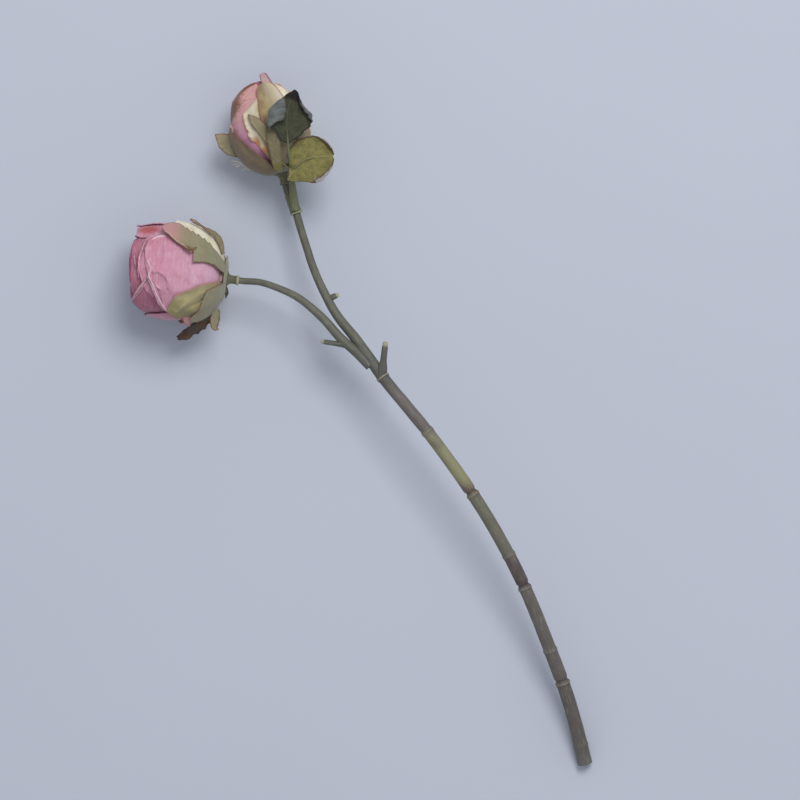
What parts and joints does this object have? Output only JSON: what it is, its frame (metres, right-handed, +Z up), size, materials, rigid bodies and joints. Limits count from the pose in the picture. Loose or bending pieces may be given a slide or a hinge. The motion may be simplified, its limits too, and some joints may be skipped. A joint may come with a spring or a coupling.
{
  "type": "artificial rosebud sprig",
  "caption": "Fabric rosebud sprig lying on its side: a large open bud and a small closed bud with a compound leaf, on a forked, jointed, wire-cored plastic stem.",
  "frame": {"origin": "on the table, under the middle of the box round the lying sprig", "axes": "+Z up from the table, +Y along the sprig from the cut end to the small bud, +X to the side of the cut end"},
  "size_m": [0.2325, 0.3461, 0.0526],
  "materials": {
    "stem_plastic": "moulded olive-brown plastic with a dull sheen",
    "core_wire": "plain drawn steel wire",
    "leaf_stalk_plastic": "moulded grey-green plastic",
    "leaf_dark_fabric": "dark grey-green printed cloth, edges curled by heat",
    "leaf_round_fabric": "yellow-green printed cloth",
    "leaf_narrow_fabric": "tan-olive printed cloth",
    "pink_fabric": "dusty pink woven cloth with dark dyed edges",
    "cream_fabric": "cream cloth with brown dyed edges",
    "sepal_fabric": "olive-tan cloth with brown tips"
  },
  "bodies": {
    "root": {"stem": "stem_plastic", "main_wire": "core_wire", "branch_wire": "core_wire", "leaf_stalk": "leaf_stalk_plastic", "leaf_dark": "leaf_dark_fabric", "leaf_round": "leaf_round_fabric", "leaf_narrow": "leaf_narrow_fabric", "large_petals": "pink_fabric", "large_guards": "cream_fabric", "large_calyx": "sepal_fabric", "small_petals": "pink_fabric", "small_guards": "cream_fabric", "small_calyx": "sepal_fabric"}
  },
  "joints": []
}
